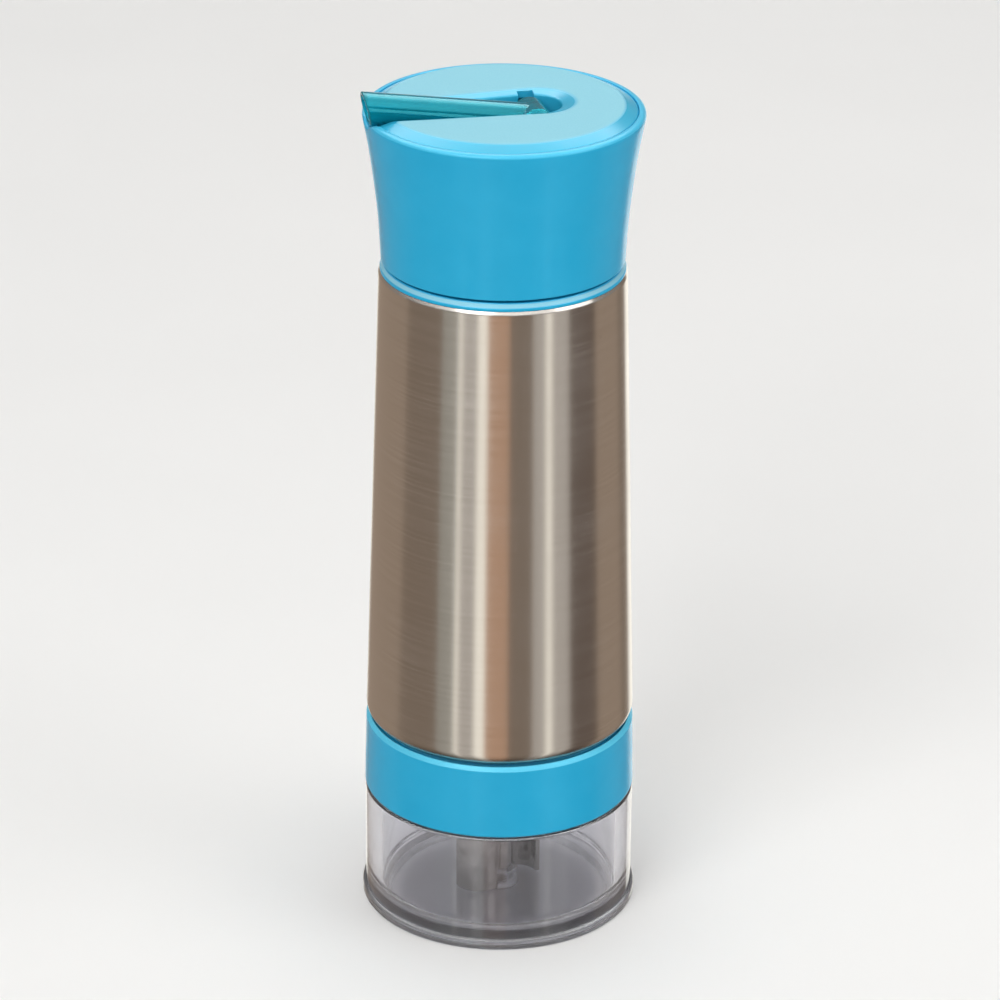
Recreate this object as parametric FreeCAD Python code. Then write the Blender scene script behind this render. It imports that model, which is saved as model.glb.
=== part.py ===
import FreeCAD, Part
import math
import os

from FreeCAD import Vector

# A water bottle with a fruit grinder in its base. Lengths are in millimetres and angles in degrees.
# Z is up, the bottle stands on Z = 0 and its axis is the Z axis. The folded spout points along -X.

# Clearances
flat_clearance = 0.1        # between flat faces that are pressed together
slip_clearance = 0.2        # radial, where one piece drops into another
thread_clearance = 0.35     # radial, where one piece screws on to another
running_clearance = 0.08    # radial, round pins that turn in their seats
stop_clearance = 0.4        # between pieces that turn past each other

# Clear infuser cup
cup_radius = 36.4
cup_wall = 4.4
cup_height = 33.4           # table to the shoulder under the collar
cup_edge = 0.8              # rounding of the shoulder and the foot
foot_flare = 0.9            # how far the foot stands out from the wall
foot_height = 3.0
foot_land = 5.0             # width of the ring that stands on the table
foot_recess = 0.7
floor_thickness = 2.2
floor_fillet = 6.0          # wide inside corner that rinses clean
spigot_wall = 2.1           # the neck that screws into the collar
spigot_height = 12.6
spigot_edge = 0.5
boss_radius = 5.2           # foot bearing of the grinder shaft
boss_height = 4.6
socket_depth = 3.8

# Seals
cup_gasket_thickness = 1.8
base_gasket_thickness = 1.3
base_gasket_width = 2.8
neck_seal_radius = 0.75     # half of the round section
lid_gasket_thickness = 1.6

# Base collar
collar_wall = 2.2
collar_taper = 0.5
collar_edge = 1.0
collar_web = 6.5
sleeve_inset = 8.75         # the threaded sleeve stands this far inside the collar's upper edge
sleeve_wall = 2.4
sleeve_height = 6.5

# Steel body
steel_wall = 0.7
steel_height = 128.2
steel_top_radius = 32.5
steel_curl = 3.2            # rolled corner above the collar
steel_edge = 0.3

# Filter and its clamp ring
screen_thickness = 0.5
screen_hole_radius = 1.1
screen_hole_pitch = 4.2
clamp_wall = 3.4
clamp_lip = 1.8
notch_count = 6
notch_width = 5.0
notch_depth = 1.4

# Grinder
plate_thickness = 3.0
plate_rim_gap = 0.6
plate_hub_radius = 7.0
plate_hub_height = 3.0
window_count = 6
window_share = 0.3          # half width of the kidney-shaped windows, as a share of their radius
window_spoke = 5.0
screw_count = 3
screw_inset = 2.8           # screw circle outside the sleeve's bore
screw_radius = 1.25
screw_grip = 4.0
screw_head_radius = 2.5
screw_head_height = 1.6
shaft_radius = 2.5
shaft_shoulder = 1.0        # width and height of the shoulder that carries the blade
blade_lobe = 5.8            # radius of each half of the S
blade_thickness = 1.2
blade_hub_wall = 1.4
blade_floor_gap = 0.7       # under the blade
blade_angle = 6.0           # turn of the S about the shaft
nut_across_flats = 8.0
nut_height = 4.0

# Threaded neck
neck_wall = 2.4
neck_height = 18.5
neck_edge = 0.6
neck_flange_thickness = 1.9
neck_flange_inset = 0.8     # the flange stands this far inside the steel's outside
neck_skirt_depth = 13.0
neck_skirt_wall = 2.4

# Lid
lid_gap = 1.3               # shadow gap above the neck flange
lid_height = 40.2
lid_inset = 0.3             # lower edge inside the steel's outside
lid_rim_radius = 36.6
lid_waist = 0.95            # hollow of the flared flank
lid_wall = 1.6
lid_edge = 0.5
rim_round = 0.9
rim_land = 2.0
deck_seat_depth = 2.5
deck_ledge_width = 1.6
deck_ledge_thickness = 2.0
deck_slope_width = 3.6      # sloping band between the deck's edge and its flat top
deck_crown = 1.5            # flat top above the rim
deck_edge_drop = 0.3        # edge of the deck below the rim
deck_thickness = 2.3
liner_wall = 1.3
liner_disc = 2.0
liner_lift = 0.6            # lower edge of the liner above the lid's lower edge

# Spout slot in the lid's deck
slot_half_width = 7.5       # round the pivot
slot_mouth_half_width = 4.6
slot_wall = 1.6
slot_bevel_width = 3.3
slot_bevel_shift = 1.5      # the bevel is this much wider at the slot's inner end
slot_bevel_depth = 1.0
slot_overrun = 3.0          # length of the cut past the rim
pivot_x = 7.6
snap_opening = 4.2          # narrowed top of the notch that holds each pin

# Spout
spout_tilt = 8.5            # folded spout above the horizontal
spout_overhang = 0.3        # folded spout's reach past the rim, along its axis
spout_root_radius = 4.6
spout_tip_radius = 4.45
spout_bore_radius = 3.1
spout_tip_angle = 21.0      # slanted mouth
barrel_radius = 4.9
barrel_drop = 0.7           # top of the barrel below the deck
barrel_side_gap = 1.0
barrel_end_gap = 0.6
pin_radius = 2.4

# Water way
seal_radius = 4.9
seal_bore_radius = 2.8
seal_seat_depth = 2.0
seal_saddle = 0.6           # height of the seal's cheeks beside the barrel
port_wall = 2.6
port_bore_radius = 3.0
straw_radius = 4.0
straw_wall = 1.5
straw_grip = 10.5           # length held in the port
straw_foot_gap = 9.0
vent_x = -14.0
vent_stem_radius = 1.6
vent_cap_radius = 4.5
vent_cap_thickness = 0.9
vent_bulb_radius = 2.4
vent_pocket_wall = 1.4
vent_hole_radius = 1.2

# Levels and radii that follow from the values above
foot_radius = cup_radius + foot_flare
cup_bore = cup_radius - cup_wall
spigot_radius = cup_bore + spigot_wall
spigot_top = cup_height + spigot_height
boss_top = floor_thickness + boss_height
socket_floor = boss_top - socket_depth
shaft_foot = socket_floor + stop_clearance
collar_bore = spigot_radius + thread_clearance
collar_radius = collar_bore + collar_wall
collar_top_radius = collar_radius - collar_taper
collar_bottom = cup_height + stop_clearance
web_bottom = spigot_top + cup_gasket_thickness + 2 * flat_clearance
collar_top = web_bottom + collar_web
sleeve_radius = collar_top_radius - sleeve_inset
sleeve_bore = sleeve_radius - sleeve_wall
sleeve_top = collar_top + sleeve_height
steel_bottom = collar_top + flat_clearance
steel_top = steel_bottom + steel_height
steel_hole_radius = sleeve_radius + thread_clearance
base_gasket_inner = steel_hole_radius + base_gasket_width / 4
base_gasket_outer = base_gasket_inner + base_gasket_width
base_groove_floor = collar_top - base_gasket_thickness - flat_clearance
screen_bottom = sleeve_top + flat_clearance
clamp_bore = sleeve_radius + thread_clearance
clamp_radius = clamp_bore + clamp_wall
clamp_bottom = steel_bottom + steel_wall + flat_clearance
clamp_lip_bottom = screen_bottom + screen_thickness + flat_clearance
clamp_top = clamp_lip_bottom + clamp_lip
plate_top = web_bottom - flat_clearance
plate_bottom = plate_top - plate_thickness
plate_radius = cup_bore - plate_rim_gap
hub_top = plate_top + plate_hub_height
window_radius = (sleeve_bore + plate_hub_radius) / 2
window_half_width = window_share * window_radius
screw_circle = sleeve_bore + screw_inset
blade_top = plate_bottom - flat_clearance
blade_bottom = floor_thickness + blade_floor_gap
shoulder_bottom = boss_top + stop_clearance
blade_hub_bottom = shoulder_bottom + shaft_shoulder + flat_clearance
nut_bottom = hub_top + flat_clearance
shaft_top = nut_bottom + nut_height + shaft_shoulder
flange_bottom = steel_top + flat_clearance
flange_top = flange_bottom + neck_flange_thickness
flange_radius = steel_top_radius - neck_flange_inset
neck_top = flange_top + neck_height
lid_bottom = flange_top + lid_gap
lid_top = lid_bottom + lid_height
lid_bottom_radius = steel_top_radius - lid_inset
lid_middle_radius = (lid_bottom_radius + lid_rim_radius) / 2 - lid_waist
rim_side_z = lid_top - rim_round
liner_radius = min(lid_bottom_radius, lid_middle_radius) - lid_wall - slip_clearance
liner_bore = liner_radius - liner_wall
neck_radius = liner_bore - thread_clearance
neck_bore = neck_radius - neck_wall
liner_underside = neck_top + lid_gasket_thickness + 2 * flat_clearance
liner_top = liner_underside + liner_disc
deck_seat_radius = lid_rim_radius - rim_land
deck_radius = deck_seat_radius - slip_clearance
deck_flat_radius = deck_radius - deck_slope_width
deck_ledge_z = lid_top - deck_seat_depth
deck_top = lid_top + deck_crown
deck_underside = deck_top - deck_thickness
pivot_z = deck_top - barrel_drop - barrel_radius
pivot = Vector(pivot_x, 0, pivot_z)
barrel_half_length = slot_half_width - barrel_side_gap
pin_half_length = slot_half_width + slot_wall - slip_clearance
spout_length = pivot_x + lid_rim_radius + spout_overhang
port_top = pivot_z - slot_half_width - slot_wall - flat_clearance
seal_bottom = port_top - seal_seat_depth + flat_clearance
port_radius = seal_radius + slip_clearance + port_wall
straw_stop = liner_top + flat_clearance
straw_top = straw_stop - flat_clearance
port_bottom = straw_stop - straw_grip
straw_bottom = clamp_top + straw_foot_gap
vent_pocket_radius = vent_cap_radius + stop_clearance
vent_pocket_top = liner_underside + 2 * vent_cap_thickness + flat_clearance
vent_boss_top = vent_pocket_top + liner_disc
slot_reach = lid_rim_radius + slot_overrun
far = 2 * lid_rim_radius    # reaches past the lid on every side

z_axis = Vector(0, 0, 1)
y_axis = Vector(0, 1, 0)
origin = Vector(0, 0, 0)


def turned(*steps):
    # Solid of revolution about Z. Each step is a corner of the closed profile: (r, z) for a sharp
    # corner, (r, z, fillet) for a rounded one, (through r, through z, r, z) to arrive by an arc.
    corners = [Vector(step[-2] if len(step) == 4 else step[0], 0, step[-1] if len(step) == 4 else step[1])
               for step in steps]
    arrive = list(corners)
    leave = list(corners)
    rounds = [None] * len(steps)
    for i, step in enumerate(steps):
        if len(step) != 3:
            continue
        back = (corners[i - 1] - corners[i]).normalize()
        ahead = (corners[(i + 1) % len(steps)] - corners[i]).normalize()
        half = back.getAngle(ahead) / 2
        arrive[i] = corners[i] + back * (step[2] / math.tan(half))
        leave[i] = corners[i] + ahead * (step[2] / math.tan(half))
        inward = (back + ahead).normalize()
        middle = corners[i] + inward * (step[2] / math.sin(half) - step[2])
        rounds[i] = Part.Arc(arrive[i], middle, leave[i]).toShape()
    edges = []
    for i, step in enumerate(steps):
        if len(step) == 4:
            through = Vector(step[0], 0, step[1])
            edges.append(Part.Arc(leave[i - 1], through, arrive[i]).toShape())
        else:
            edges.append(Part.LineSegment(leave[i - 1], arrive[i]).toShape())
        if rounds[i]:
            edges.append(rounds[i])
    return Part.Face(Part.Wire(edges)).revolve(origin, z_axis, 360)


def upright(radius, z_low, z_high, x=0, y=0):
    return Part.makeCylinder(radius, z_high - z_low, Vector(x, y, z_low))


def crosswise(radius, half_length):
    # Round bar along Y through the spout's pivot.
    return Part.makeCylinder(radius, 2 * half_length, pivot - y_axis * half_length, y_axis)


def polar(radius, angle, z=0):
    turn = math.radians(angle)
    return Vector(radius * math.cos(turn), radius * math.sin(turn), z)


def ring_places(count, radius):
    return [polar(radius, 360 * i / count) for i in range(count)]


def loop_of(*pieces):
    # Closed wire through the pieces in order: 2 points make a line, 3 points an arc.
    edges = []
    for piece in pieces:
        curve = Part.LineSegment(*piece) if len(piece) == 2 else Part.Arc(*piece)
        edges.append(curve.toShape())
    return Part.Wire(edges)


def prism(wire, height):
    return Part.Face(wire).extrude(z_axis * height)


def infuser_cup():
    return turned(
        (0, foot_recess),
        (foot_radius - foot_land, foot_recess),
        (foot_radius - foot_land, 0),
        (foot_radius, 0, cup_edge),
        (foot_radius, foot_height, cup_edge),
        (cup_radius, foot_height),
        (cup_radius, cup_height, cup_edge),
        (spigot_radius, cup_height),
        (spigot_radius, spigot_top, spigot_edge),
        (cup_bore, spigot_top, spigot_edge),
        (cup_bore, floor_thickness, floor_fillet),
        (boss_radius, floor_thickness),
        (boss_radius, boss_top, spigot_edge),
        (shaft_radius + running_clearance, boss_top),
        (shaft_radius + running_clearance, socket_floor),
        (0, socket_floor),
    )


def flat_ring(inner, outer, z_low, z_high):
    return turned((inner, z_low), (outer, z_low), (outer, z_high), (inner, z_high))


def cup_gasket():
    low = spigot_top + flat_clearance
    return flat_ring(cup_bore + slip_clearance, spigot_radius, low, low + cup_gasket_thickness)


def base_gasket():
    low = collar_top - base_gasket_thickness
    return flat_ring(base_gasket_inner, base_gasket_outer, low, collar_top)


def base_collar():
    groove_inner = base_gasket_inner - slip_clearance
    groove_outer = base_gasket_outer + slip_clearance
    collar = turned(
        (collar_bore, collar_bottom),
        (collar_radius, collar_bottom, collar_edge),
        (collar_top_radius, collar_top, collar_edge),
        (groove_outer, collar_top),
        (groove_outer, base_groove_floor),
        (groove_inner, base_groove_floor),
        (groove_inner, collar_top),
        (sleeve_radius, collar_top),
        (sleeve_radius, sleeve_top),
        (sleeve_bore, sleeve_top),
        (sleeve_bore, web_bottom),
        (collar_bore, web_bottom),
    )
    for place in ring_places(screw_count, screw_circle):
        pilot = upright(screw_radius + running_clearance, web_bottom - flat_clearance,
                        web_bottom + screw_grip + stop_clearance, place.x, place.y)
        collar = collar.cut(pilot)
    return collar


def steel_inner_radius(z):
    slope = (collar_top_radius - steel_top_radius) / steel_height
    return steel_top_radius - steel_wall + slope * (steel_top - z)


def steel_body():
    floor_z = steel_bottom + steel_wall
    return turned(
        (steel_hole_radius, steel_bottom),
        (collar_top_radius, steel_bottom, steel_curl),
        (steel_top_radius, steel_top, steel_edge),
        (steel_top_radius - steel_wall, steel_top),
        (steel_inner_radius(floor_z), floor_z, steel_curl - steel_wall),
        (steel_hole_radius, floor_z),
    )


def filter_screen():
    # Perforated disc: rings of holes on a triangular grid.
    holes = []
    rings = int((sleeve_bore - screen_hole_radius) / screen_hole_pitch)
    for i in range(-rings, rings + 1):
        for j in range(max(-rings, -i - rings), min(rings, -i + rings) + 1):
            x = screen_hole_pitch * (i + j / 2)
            y = screen_hole_pitch * j * math.sin(math.radians(60))
            hole = Part.Circle(Vector(x, y, screen_bottom), z_axis, screen_hole_radius).toShape()
            holes.append(Part.Wire(hole))
    rim = Part.Wire(Part.Circle(Vector(0, 0, screen_bottom), z_axis, sleeve_radius).toShape())
    disc = Part.Face(rim).cut(Part.Compound([Part.Face(hole) for hole in holes]))
    return disc.Faces[0].extrude(z_axis * screen_thickness)


def clamp_ring():
    ring = turned(
        (clamp_bore, clamp_bottom),
        (clamp_radius, clamp_bottom),
        (clamp_radius, clamp_top, lid_edge),
        (sleeve_bore, clamp_top),
        (sleeve_bore, clamp_lip_bottom),
        (clamp_bore, clamp_lip_bottom),
    )
    notch = Part.makeBox(2 * notch_depth, notch_width, clamp_top,
                         Vector(clamp_radius - notch_depth, -notch_width / 2, clamp_bottom))
    for i in range(notch_count):
        ring = ring.cut(notch.rotated(origin, z_axis, 360 * i / notch_count))
    return ring


def kidney(radius, half_width, start, end):
    # Ring segment with round ends, from angle start to angle end.
    middle = (start + end) / 2
    inner = radius - half_width
    outer = radius + half_width
    start_cap = polar(radius, start) + polar(half_width, start - 90)
    end_cap = polar(radius, end) + polar(half_width, end + 90)
    return loop_of(
        (polar(outer, start), polar(outer, middle), polar(outer, end)),
        (polar(outer, end), end_cap, polar(inner, end)),
        (polar(inner, end), polar(inner, middle), polar(inner, start)),
        (polar(inner, start), start_cap, polar(outer, start)),
    )


def grinder_plate():
    plate = turned(
        (0, plate_bottom),
        (plate_radius, plate_bottom, lid_edge),
        (plate_radius, plate_top),
        (plate_hub_radius, plate_top),
        (plate_hub_radius, hub_top, lid_edge),
        (0, hub_top),
    )
    step = 360 / window_count
    half_spoke = math.degrees((window_half_width + window_spoke / 2) / window_radius)
    for i in range(window_count):
        window = kidney(window_radius, window_half_width, i * step + half_spoke, (i + 1) * step - half_spoke)
        plate = plate.cut(prism(window, far))
    plate = plate.cut(upright(shaft_radius + running_clearance, 0, far))
    for place in ring_places(screw_count, screw_circle):
        recess_top = plate_bottom + screw_head_height + flat_clearance
        plate = plate.cut(upright(screw_radius + slip_clearance, 0, far, place.x, place.y))
        plate = plate.cut(upright(screw_head_radius + slip_clearance, 0, recess_top, place.x, place.y))
    return plate


def plate_screws():
    screws = []
    head_top = plate_bottom + screw_head_height
    for place in ring_places(screw_count, screw_circle):
        head = upright(screw_head_radius, plate_bottom, head_top, place.x, place.y)
        shank = upright(screw_radius, plate_bottom, web_bottom + screw_grip, place.x, place.y)
        screws.append(head.fuse(shank).removeSplitter())
    return Part.Compound(screws)


def half_ring(centre_x, start):
    # Half of a flat ring about (centre_x, 0), turning from angle start through a half circle.
    centre = Vector(centre_x, 0, blade_bottom)
    inner = blade_lobe - blade_thickness / 2
    outer = blade_lobe + blade_thickness / 2
    places = [start, start + 90, start + 180]
    outside = [centre + polar(outer, angle) for angle in places]
    inside = [centre + polar(inner, angle) for angle in reversed(places)]
    return loop_of(outside, (outside[-1], inside[0]), inside, (inside[-1], outside[0]))


def grinder_blade():
    # Upright strip bent to an S, wrapped on a hub that sits on the shaft's shoulder.
    height = blade_top - blade_bottom
    near_lobe = prism(half_ring(-blade_lobe, 180), height)
    far_lobe = prism(half_ring(blade_lobe, 0), height)
    bore = shaft_radius + running_clearance
    hub = upright(bore + blade_hub_wall, blade_hub_bottom, blade_top)
    boss_room = upright(boss_radius + stop_clearance, 0, blade_hub_bottom)
    vanes = near_lobe.fuse(far_lobe).cut(boss_room)
    blade = vanes.fuse(hub).cut(upright(bore, blade_bottom, blade_top)).removeSplitter()
    return blade.rotated(origin, z_axis, blade_angle)


def grinder_shaft():
    shoulder_top = shoulder_bottom + shaft_shoulder
    return turned(
        (0, shaft_foot),
        (shaft_radius, shaft_foot, spigot_edge),
        (shaft_radius, shoulder_bottom),
        (shaft_radius + shaft_shoulder, shoulder_bottom),
        (shaft_radius + shaft_shoulder, shoulder_top),
        (shaft_radius, shoulder_top),
        (shaft_radius, shaft_top, spigot_edge),
        (0, shaft_top),
    )


def shaft_nut():
    corner_radius = nut_across_flats / math.sqrt(3)
    corners = [polar(corner_radius, 60 * i, nut_bottom) for i in range(6)]
    hexagon = Part.makePolygon(corners + corners[:1])
    return prism(hexagon, nut_height).cut(
        upright(shaft_radius + running_clearance, nut_bottom, nut_bottom + nut_height))


def neck_seal_place():
    # Height and ring radius of the round seal between the neck's skirt and the steel.
    z = steel_top - neck_skirt_depth / 2
    return z, steel_inner_radius(z) - flat_clearance - neck_seal_radius


def neck_seal():
    z, radius = neck_seal_place()
    return Part.makeTorus(radius, neck_seal_radius, Vector(0, 0, z))


def neck_collar():
    skirt_radius = steel_top_radius - steel_wall - slip_clearance
    skirt_bore = skirt_radius - neck_skirt_wall
    skirt_bottom = steel_top - neck_skirt_depth
    seal_z, seal_ring = neck_seal_place()
    groove_radius = seal_ring - neck_seal_radius - flat_clearance
    groove_half = neck_seal_radius + flat_clearance
    return turned(
        (skirt_bore, skirt_bottom),
        (skirt_radius, skirt_bottom, lid_edge),
        (skirt_radius, seal_z - groove_half),
        (groove_radius, seal_z - groove_half),
        (groove_radius, seal_z + groove_half),
        (skirt_radius, seal_z + groove_half),
        (skirt_radius, flange_bottom),
        (flange_radius, flange_bottom),
        (flange_radius, flange_top, lid_edge),
        (neck_radius, flange_top),
        (neck_radius, neck_top, neck_edge),
        (neck_bore, neck_top, neck_edge),
        (neck_bore, flange_bottom),
        (skirt_bore, flange_bottom - (skirt_bore - neck_bore)),
    )


def lid_gasket():
    low = neck_top + flat_clearance
    return flat_ring(neck_bore + slip_clearance, neck_radius, low, low + lid_gasket_thickness)


def lid_radius(z):
    # Outside of the lid's flank: one arc from the lower edge through the waist to the rim.
    low = Vector(lid_bottom_radius, 0, lid_bottom)
    waist = Vector(lid_middle_radius, 0, (lid_bottom + rim_side_z) / 2)
    rim = Vector(lid_rim_radius, 0, rim_side_z)
    circle = Part.Arc(low, waist, rim).toShape().Curve
    return circle.Center.x - math.sqrt(circle.Radius ** 2 - (z - circle.Center.z) ** 2)


def slot_plan(grow, z, shift=0):
    # Plan of the spout's slot: round inner end about the pivot, sides that close in towards the rim.
    wide = slot_half_width + grow
    narrow = slot_mouth_half_width + grow
    left = Vector(-slot_reach, narrow, z)
    right = Vector(-slot_reach, -narrow, z)
    end_left = Vector(pivot_x + shift, wide, z)
    end_right = Vector(pivot_x + shift, -wide, z)
    end = Vector(pivot_x + shift + wide, 0, z)
    return loop_of((end_right, end, end_left), (end_left, left), (left, right), (right, end_right))


def slot_space(grow, z_high):
    # The slot, or with grow the outside of its trough: half round below the folded spout's axis,
    # upright sides above it.
    plan = Part.Face(slot_plan(grow, pivot_z))
    half = plan.common(Part.makeBox(2 * far, far, far, Vector(-far, 0, pivot_z - far / 2)))
    hollow = half.revolve(pivot, Vector(-1, 0, 0), 180).rotated(pivot, y_axis, spout_tilt)
    sides = plan.rotated(pivot, y_axis, spout_tilt).extrude(z_axis * far)
    return hollow.fuse(sides).common(Part.makeBox(2 * far, 2 * far, z_high, Vector(-far, -far, 0)))


def slot_bevels():
    # Sloping edges of the slot: level on the flat top, and bent down with the deck near the rim.
    low = slot_plan(-slot_bevel_width, deck_top - 2 * slot_bevel_depth, -slot_bevel_shift)
    high = slot_plan(2 * slot_bevel_width, deck_top + slot_bevel_depth, 2 * slot_bevel_shift)
    level = Part.makeLoft([low, high], True, True)
    bend = Vector(-deck_flat_radius, 0, deck_top)
    fall = math.degrees(math.atan2(deck_crown, deck_seat_radius - deck_flat_radius))
    return level, level.rotated(bend, y_axis, -fall)


def lid_shell():
    ledge_bottom = deck_ledge_z - deck_ledge_thickness
    ledge_radius = deck_seat_radius - deck_ledge_width
    half_height = (lid_bottom + rim_side_z) / 2
    inner_middle = (lid_bottom + ledge_bottom) / 2
    corner = rim_round * math.sin(math.radians(45))
    shell = turned(
        (lid_radius(inner_middle) - lid_wall, inner_middle, lid_bottom_radius - lid_wall, lid_bottom),
        (lid_bottom_radius, lid_bottom),
        (lid_radius(half_height), half_height, lid_rim_radius, rim_side_z),
        (lid_rim_radius - rim_round + corner, rim_side_z + corner, lid_rim_radius - rim_round, lid_top),
        (deck_seat_radius, lid_top),
        (deck_seat_radius, deck_ledge_z),
        (ledge_radius, deck_ledge_z),
        (ledge_radius, ledge_bottom),
        (lid_radius(ledge_bottom) - lid_wall, ledge_bottom),
    )
    trough_room = slot_space(slot_wall + slip_clearance, lid_top + far)
    trough_room = trough_room.common(upright(deck_seat_radius, liner_top, lid_top + far))
    shell = shell.cut(slot_space(0, lid_top + far)).cut(trough_room)
    for bevel in slot_bevels():
        shell = shell.cut(bevel)
    return shell


def lid_deck():
    seat_z = deck_ledge_z + flat_clearance
    rim_inner = deck_seat_radius - deck_ledge_width
    edge_z = lid_top - deck_edge_drop
    disc = turned(
        (0, deck_underside),
        (rim_inner, deck_underside),
        (rim_inner, seat_z),
        (deck_radius, seat_z),
        (deck_radius, edge_z),
        (deck_flat_radius, deck_top),
        (0, deck_top),
    )
    trough = slot_space(slot_wall, edge_z - deck_edge_drop)
    trough = trough.common(upright(deck_radius, liner_top, lid_top + far))
    deck = disc.fuse(trough).cut(slot_space(0, lid_top + far))
    for bevel in slot_bevels():
        deck = deck.cut(bevel)
    notch_half_length = pin_half_length + slip_clearance
    snap = Part.makeBox(snap_opening, 2 * notch_half_length, far,
                        Vector(pivot_x - snap_opening / 2, -notch_half_length, pivot_z))
    deck = deck.cut(crosswise(pin_radius + running_clearance, notch_half_length)).cut(snap)
    deck = deck.cut(upright(seal_radius + slip_clearance, liner_top, pivot_z, pivot_x))
    return deck.cut(upright(vent_hole_radius, liner_top, pivot_z, vent_x)).removeSplitter()


def lid_liner():
    cap = turned(
        (0, liner_underside),
        (liner_bore, liner_underside),
        (liner_bore, lid_bottom + liner_lift),
        (liner_radius, lid_bottom + liner_lift),
        (liner_radius, liner_top, lid_edge),
        (0, liner_top),
    )
    port = upright(port_radius, port_bottom, port_top, pivot_x)
    vent_boss = upright(vent_pocket_radius + vent_pocket_wall, liner_underside, vent_boss_top, vent_x)
    liner = cap.fuse(port).fuse(vent_boss)
    liner = liner.cut(upright(straw_radius + running_clearance, port_bottom, straw_stop, pivot_x))
    liner = liner.cut(upright(port_bore_radius, straw_stop, port_top, pivot_x))
    liner = liner.cut(upright(seal_radius + slip_clearance, port_top - seal_seat_depth, port_top, pivot_x))
    liner = liner.cut(upright(vent_pocket_radius, port_bottom, vent_pocket_top, vent_x))
    return liner.cut(upright(vent_stem_radius + running_clearance, port_bottom, vent_boss_top, vent_x))


def spout_seal():
    seal_top = pivot_z - barrel_radius + seal_saddle
    seal = upright(seal_radius, seal_bottom, seal_top, pivot_x)
    seal = seal.cut(upright(seal_bore_radius, seal_bottom, seal_top, pivot_x))
    return seal.cut(crosswise(barrel_radius + slip_clearance, far))


def vent_valve():
    # Umbrella valve: a cap in the liner's pocket, a stem through it and a bulb that holds it from above.
    cap_top = vent_pocket_top - flat_clearance
    bulb_bottom = vent_boss_top + flat_clearance
    valve = turned(
        (0, cap_top - 2 * vent_cap_thickness),
        (vent_cap_radius, cap_top - vent_cap_thickness),
        (vent_cap_radius, cap_top),
        (vent_stem_radius, cap_top),
        (vent_stem_radius, bulb_bottom),
        (vent_bulb_radius, bulb_bottom),
        (vent_stem_radius, bulb_bottom + 2 * vent_bulb_radius, vent_stem_radius / 2),
        (0, bulb_bottom + 2 * vent_bulb_radius),
    )
    return valve.translated(Vector(vent_x, 0, 0))


def straw():
    return flat_ring(straw_radius - straw_wall, straw_radius, straw_bottom, straw_top).translated(
        Vector(pivot_x, 0, 0))


def spout():
    # Modelled level along -X from the pivot, then tilted to its folded position.
    along = Vector(-1, 0, 0)
    reach = spout_length + spout_tip_radius
    tip_growth = (spout_tip_radius - spout_root_radius) / spout_length
    tube = Part.makeCone(spout_root_radius, spout_root_radius + tip_growth * reach, reach, pivot, along)
    # The barrel's ends are rounded to a ball, which clears the slot's round end as it turns.
    ball = Part.makeSphere(slot_half_width - barrel_end_gap, pivot)
    barrel = crosswise(barrel_radius, barrel_half_length).common(ball)
    body = barrel.fuse(tube).fuse(crosswise(pin_radius, pin_half_length))
    bore = Part.makeCylinder(spout_bore_radius, reach + 2 * barrel_radius,
                             pivot - along * 2 * barrel_radius, along)
    tip = pivot + along * spout_length
    beyond_tip = Part.makeBox(far, far, 2 * far, tip + Vector(-far, -far / 2, -far))
    beyond_tip = beyond_tip.rotated(tip, y_axis, -spout_tip_angle)
    body = body.cut(bore).cut(beyond_tip).removeSplitter()
    return body.rotated(pivot, y_axis, spout_tilt)


pieces = [
    infuser_cup, cup_gasket, base_collar, base_gasket, steel_body, filter_screen, clamp_ring,
    grinder_plate, plate_screws, grinder_blade, grinder_shaft, shaft_nut, neck_collar, neck_seal,
    lid_gasket, lid_shell, lid_deck, lid_liner, spout_seal, vent_valve, straw, spout,
]

os.makedirs("parts", exist_ok=True)
for piece in pieces:
    shape = piece()
    shape.exportStep("parts/" + piece.__name__ + ".step")
    print(piece.__name__, len(shape.Solids), shape.isValid(), round(shape.Volume, 1))
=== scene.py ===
import bmesh
import bpy
import numpy as np
from mathutils import Matrix, Vector


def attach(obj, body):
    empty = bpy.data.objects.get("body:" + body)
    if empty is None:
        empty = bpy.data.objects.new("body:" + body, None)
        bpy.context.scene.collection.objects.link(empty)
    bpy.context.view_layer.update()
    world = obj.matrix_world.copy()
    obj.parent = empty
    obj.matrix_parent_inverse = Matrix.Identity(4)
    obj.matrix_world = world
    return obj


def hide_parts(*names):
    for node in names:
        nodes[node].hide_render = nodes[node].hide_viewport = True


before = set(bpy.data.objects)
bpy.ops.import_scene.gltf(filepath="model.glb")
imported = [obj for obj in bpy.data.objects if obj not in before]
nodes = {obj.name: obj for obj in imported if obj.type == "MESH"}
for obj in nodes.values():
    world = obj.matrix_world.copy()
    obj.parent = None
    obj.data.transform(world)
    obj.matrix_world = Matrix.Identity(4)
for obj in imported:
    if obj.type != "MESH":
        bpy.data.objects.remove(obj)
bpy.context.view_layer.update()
scene = bpy.context.scene
scene.view_settings.view_transform = "Standard"
mm = 0.001
fullTurn = 2 * np.pi
weld = 2e-7  # metres; closer points of a grid are one
slack = 0.01  # mm
threadStep = 0.3  # mm between the rows of a threaded wall
noiseSpan, hazeSpan = (0.3, 0.7), (0.35, 0.75)  # part of a noise's values that a finish uses
lampAim = (0, 0, 0.12)  # metres
print("frame loaded:", len(nodes), "nodes")


def linearColour(code):
    # sRGB hex to linear light, opaque
    srgb = np.array([int(code[i:i + 2], 16) for i in (1, 3, 5)]) / 255
    linear = np.where(srgb <= 0.04045, srgb / 12.92, ((srgb + 0.055) / 1.055) ** 2.4)
    return (*linear.tolist(), 1.0)


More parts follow.
